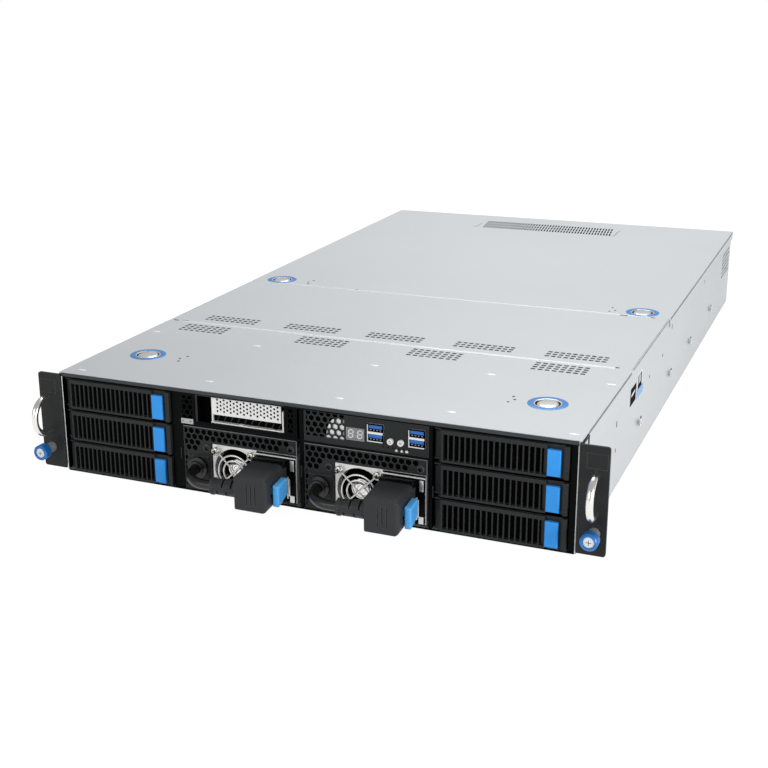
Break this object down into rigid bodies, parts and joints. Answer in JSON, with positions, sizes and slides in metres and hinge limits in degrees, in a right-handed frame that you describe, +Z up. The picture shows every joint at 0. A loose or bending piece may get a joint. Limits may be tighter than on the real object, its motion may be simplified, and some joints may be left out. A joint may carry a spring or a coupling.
{
  "type": "rack server",
  "caption": "Two-unit rack server: zinc steel chassis with lift-off covers, drive trays with swing levers, front power supplies with locking plugs, control panel, rack ears and pull handles.",
  "frame": {"origin": "on the ground, at the middle of the width and 384.5 mm behind the covers' front edge", "axes": "+X to the right seen from the front, +Y to the rear, +Z up"},
  "size_m": [0.4826, 0.836, 0.0884],
  "materials": {
    "zinc_steel": "satin",
    "black_steel": "satin",
    "black_plastic": "matte",
    "polished_steel": "polished",
    "chrome_steel": "polished",
    "blue_plastic": "satin",
    "white_plastic": "satin",
    "black_rubber": "matte",
    "circuit_board": "satin",
    "heatsink_aluminium": "satin"
  },
  "bodies": {
    "chassis": {"base_pan": "zinc_steel", "middle_bridge": "zinc_steel", "front_frame": "black_steel", "left_ear": "black_steel", "right_ear": "black_steel", "ear_handles": "polished_steel", "psu_fascias": "black_steel", "cord_glands": "black_steel", "left_power_cord": "black_rubber", "right_power_cord": "black_rubber", "slot_bracket": "zinc_steel", "io_fascia": "black_steel", "status_display": "black_plastic", "data_ports": "zinc_steel", "motherboard": "circuit_board", "heatsinks": "heatsink_aluminium", "fan_frames": "black_plastic", "drive_backplanes": "circuit_board", "left_psu_case": "zinc_steel", "right_psu_case": "zinc_steel", "psu_finger_guards": "polished_steel", "rear_power_inlets": "black_plastic"},
    "front_cover": {"front_cover": "zinc_steel"},
    "front_left_latch": {"front_left_latch": "chrome_steel"},
    "front_right_latch": {"front_right_latch": "chrome_steel"},
    "rear_cover": {"rear_cover": "zinc_steel"},
    "rear_left_latch": {"rear_left_latch": "chrome_steel"},
    "rear_right_latch": {"rear_right_latch": "chrome_steel"},
    "left_thumbscrew": {"left_thumbscrew": "blue_plastic"},
    "right_thumbscrew": {"right_thumbscrew": "blue_plastic"},
    "left_bottom_tray": {"left_bottom_tray_carrier": "black_plastic"},
    "left_bottom_tray_lever": {"left_bottom_tray_lever": "black_plastic"},
    "left_bottom_tray_release_tab": {"left_bottom_tray_release_tab": "blue_plastic"},
    "left_middle_tray": {"left_middle_tray_carrier": "black_plastic"},
    "left_middle_tray_lever": {"left_middle_tray_lever": "black_plastic"},
    "left_middle_tray_release_tab": {"left_middle_tray_release_tab": "blue_plastic"},
    "left_top_tray": {"left_top_tray_carrier": "black_plastic"},
    "left_top_tray_lever": {"left_top_tray_lever": "black_plastic"},
    "left_top_tray_release_tab": {"left_top_tray_release_tab": "blue_plastic"},
    "right_bottom_tray": {"right_bottom_tray_carrier": "black_plastic"},
    "right_bottom_tray_lever": {"right_bottom_tray_lever": "black_plastic"},
    "right_bottom_tray_release_tab": {"right_bottom_tray_release_tab": "blue_plastic"},
    "right_middle_tray": {"right_middle_tray_carrier": "black_plastic"},
    "right_middle_tray_lever": {"right_middle_tray_lever": "black_plastic"},
    "right_middle_tray_release_tab": {"right_middle_tray_release_tab": "blue_plastic"},
    "right_top_tray": {"right_top_tray_carrier": "black_plastic"},
    "right_top_tray_lever": {"right_top_tray_lever": "black_plastic"},
    "right_top_tray_release_tab": {"right_top_tray_release_tab": "blue_plastic"},
    "left_psu_fan": {"left_psu_fan_rotor": "black_plastic"},
    "left_plug": {"left_plug": "black_plastic"},
    "left_plug_lock_tab": {"left_plug_lock_tab": "blue_plastic"},
    "right_psu_fan": {"right_psu_fan_rotor": "black_plastic"},
    "right_plug": {"right_plug": "black_plastic"},
    "right_plug_lock_tab": {"right_plug_lock_tab": "blue_plastic"},
    "power_button": {"power_button": "white_plastic"},
    "id_button": {"id_button": "white_plastic"},
    "fan_1": {"fan_rotor_1": "black_plastic"},
    "fan_2": {"fan_rotor_2": "black_plastic"},
    "fan_3": {"fan_rotor_3": "black_plastic"},
    "fan_4": {"fan_rotor_4": "black_plastic"}
  },
  "joints": [
    {"name": "front_cover_lift", "type": "slide", "parent": "chassis", "child": "front_cover", "axis": [0, 0, 1], "range_m": [0, 0.12]},
    {"name": "front_left_latch_press", "type": "slide", "parent": "front_cover", "child": "front_left_latch", "axis": [0, 0, -1], "range_m": [0, 0.0015], "stiffness_N_per_m": 900, "springref_m": -0.0015},
    {"name": "front_right_latch_press", "type": "slide", "parent": "front_cover", "child": "front_right_latch", "axis": [0, 0, -1], "range_m": [0, 0.0015], "stiffness_N_per_m": 900, "springref_m": -0.0015},
    {"name": "rear_cover_lift", "type": "slide", "parent": "chassis", "child": "rear_cover", "axis": [0, 0, 1], "range_m": [0, 0.12]},
    {"name": "rear_left_latch_press", "type": "slide", "parent": "rear_cover", "child": "rear_left_latch", "axis": [0, 0, -1], "range_m": [0, 0.0015], "stiffness_N_per_m": 900, "springref_m": -0.0015},
    {"name": "rear_right_latch_press", "type": "slide", "parent": "rear_cover", "child": "rear_right_latch", "axis": [0, 0, -1], "range_m": [0, 0.0015], "stiffness_N_per_m": 900, "springref_m": -0.0015},
    {"name": "left_thumbscrew_turn", "type": "hinge", "parent": "chassis", "child": "left_thumbscrew", "pos_m": [-0.23255, -0.3845, 0.02], "axis": [0, 1, 0], "continuous": true},
    {"name": "right_thumbscrew_turn", "type": "hinge", "parent": "chassis", "child": "right_thumbscrew", "pos_m": [0.23255, -0.3845, 0.02], "axis": [0, 1, 0], "continuous": true},
    {"name": "left_bottom_tray_slide", "type": "slide", "parent": "chassis", "child": "left_bottom_tray", "axis": [0, -1, 0], "range_m": [0, 0.165]},
    {"name": "left_bottom_tray_lever_swing", "type": "hinge", "parent": "left_bottom_tray", "child": "left_bottom_tray_lever", "pos_m": [-0.2131, -0.3806, 0.0144], "axis": [0, 0, -1], "range_deg": [0, 50]},
    {"name": "left_bottom_tray_release_tab_slide", "type": "slide", "parent": "left_bottom_tray", "child": "left_bottom_tray_release_tab", "axis": [1, 0, 0], "range_m": [0, 0.002], "stiffness_N_per_m": 400, "springref_m": -0.002},
    {"name": "left_middle_tray_slide", "type": "slide", "parent": "chassis", "child": "left_middle_tray", "axis": [0, -1, 0], "range_m": [0, 0.165]},
    {"name": "left_middle_tray_lever_swing", "type": "hinge", "parent": "left_middle_tray", "child": "left_middle_tray_lever", "pos_m": [-0.2131, -0.3806, 0.0421], "axis": [0, 0, -1], "range_deg": [0, 50]},
    {"name": "left_middle_tray_release_tab_slide", "type": "slide", "parent": "left_middle_tray", "child": "left_middle_tray_release_tab", "axis": [1, 0, 0], "range_m": [0, 0.002], "stiffness_N_per_m": 400, "springref_m": -0.002},
    {"name": "left_top_tray_slide", "type": "slide", "parent": "chassis", "child": "left_top_tray", "axis": [0, -1, 0], "range_m": [0, 0.165]},
    {"name": "left_top_tray_lever_swing", "type": "hinge", "parent": "left_top_tray", "child": "left_top_tray_lever", "pos_m": [-0.2131, -0.3806, 0.0698], "axis": [0, 0, -1], "range_deg": [0, 50]},
    {"name": "left_top_tray_release_tab_slide", "type": "slide", "parent": "left_top_tray", "child": "left_top_tray_release_tab", "axis": [1, 0, 0], "range_m": [0, 0.002], "stiffness_N_per_m": 400, "springref_m": -0.002},
    {"name": "right_bottom_tray_slide", "type": "slide", "parent": "chassis", "child": "right_bottom_tray", "axis": [0, -1, 0], "range_m": [0, 0.165]},
    {"name": "right_bottom_tray_lever_swing", "type": "hinge", "parent": "right_bottom_tray", "child": "right_bottom_tray_lever", "pos_m": [0.1141, -0.3806, 0.0144], "axis": [0, 0, -1], "range_deg": [0, 50]},
    {"name": "right_bottom_tray_release_tab_slide", "type": "slide", "parent": "right_bottom_tray", "child": "right_bottom_tray_release_tab", "axis": [1, 0, 0], "range_m": [0, 0.002], "stiffness_N_per_m": 400, "springref_m": -0.002},
    {"name": "right_middle_tray_slide", "type": "slide", "parent": "chassis", "child": "right_middle_tray", "axis": [0, -1, 0], "range_m": [0, 0.165]},
    {"name": "right_middle_tray_lever_swing", "type": "hinge", "parent": "right_middle_tray", "child": "right_middle_tray_lever", "pos_m": [0.1141, -0.3806, 0.0421], "axis": [0, 0, -1], "range_deg": [0, 50]},
    {"name": "right_middle_tray_release_tab_slide", "type": "slide", "parent": "right_middle_tray", "child": "right_middle_tray_release_tab", "axis": [1, 0, 0], "range_m": [0, 0.002], "stiffness_N_per_m": 400, "springref_m": -0.002},
    {"name": "right_top_tray_slide", "type": "slide", "parent": "chassis", "child": "right_top_tray", "axis": [0, -1, 0], "range_m": [0, 0.165]},
    {"name": "right_top_tray_lever_swing", "type": "hinge", "parent": "right_top_tray", "child": "right_top_tray_lever", "pos_m": [0.1141, -0.3806, 0.0698], "axis": [0, 0, -1], "range_deg": [0, 50]},
    {"name": "right_top_tray_release_tab_slide", "type": "slide", "parent": "right_top_tray", "child": "right_top_tray_release_tab", "axis": [1, 0, 0], "range_m": [0, 0.002], "stiffness_N_per_m": 400, "springref_m": -0.002},
    {"name": "left_psu_fan_spin", "type": "hinge", "parent": "chassis", "child": "left_psu_fan", "pos_m": [-0.0578, -0.3845, 0.0222], "axis": [0, 1, 0], "continuous": true},
    {"name": "left_plug_pull", "type": "slide", "parent": "chassis", "child": "left_plug", "axis": [0, -1, 0], "range_m": [0, 0.012], "deforming": ["left_power_cord"]},
    {"name": "left_plug_lock_tab_slide", "type": "slide", "parent": "left_plug", "child": "left_plug_lock_tab", "axis": [0, -1, 0], "range_m": [0, 0.003], "stiffness_N_per_m": 300, "springref_m": -0.002},
    {"name": "right_psu_fan_spin", "type": "hinge", "parent": "chassis", "child": "right_psu_fan", "pos_m": [0.05, -0.3845, 0.0222], "axis": [0, 1, 0], "continuous": true},
    {"name": "right_plug_pull", "type": "slide", "parent": "chassis", "child": "right_plug", "axis": [0, -1, 0], "range_m": [0, 0.012], "deforming": ["right_power_cord"]},
    {"name": "right_plug_lock_tab_slide", "type": "slide", "parent": "right_plug", "child": "right_plug_lock_tab", "axis": [0, -1, 0], "range_m": [0, 0.003], "stiffness_N_per_m": 300, "springref_m": -0.002},
    {"name": "power_button_press", "type": "slide", "parent": "chassis", "child": "power_button", "axis": [0, 1, 0], "range_m": [0, 0.0008], "stiffness_N_per_m": 1200, "springref_m": -0.0008},
    {"name": "id_button_press", "type": "slide", "parent": "chassis", "child": "id_button", "axis": [0, 1, 0], "range_m": [0, 0.0008], "stiffness_N_per_m": 1200, "springref_m": -0.0008},
    {"name": "fan_1_spin", "type": "hinge", "parent": "chassis", "child": "fan_1", "pos_m": [-0.159, -0.1225, 0.041], "axis": [0, 1, 0], "continuous": true},
    {"name": "fan_2_spin", "type": "hinge", "parent": "chassis", "child": "fan_2", "pos_m": [-0.053, -0.1225, 0.041], "axis": [0, 1, 0], "continuous": true},
    {"name": "fan_3_spin", "type": "hinge", "parent": "chassis", "child": "fan_3", "pos_m": [0.053, -0.1225, 0.041], "axis": [0, 1, 0], "continuous": true},
    {"name": "fan_4_spin", "type": "hinge", "parent": "chassis", "child": "fan_4", "pos_m": [0.159, -0.1225, 0.041], "axis": [0, 1, 0], "continuous": true}
  ]
}
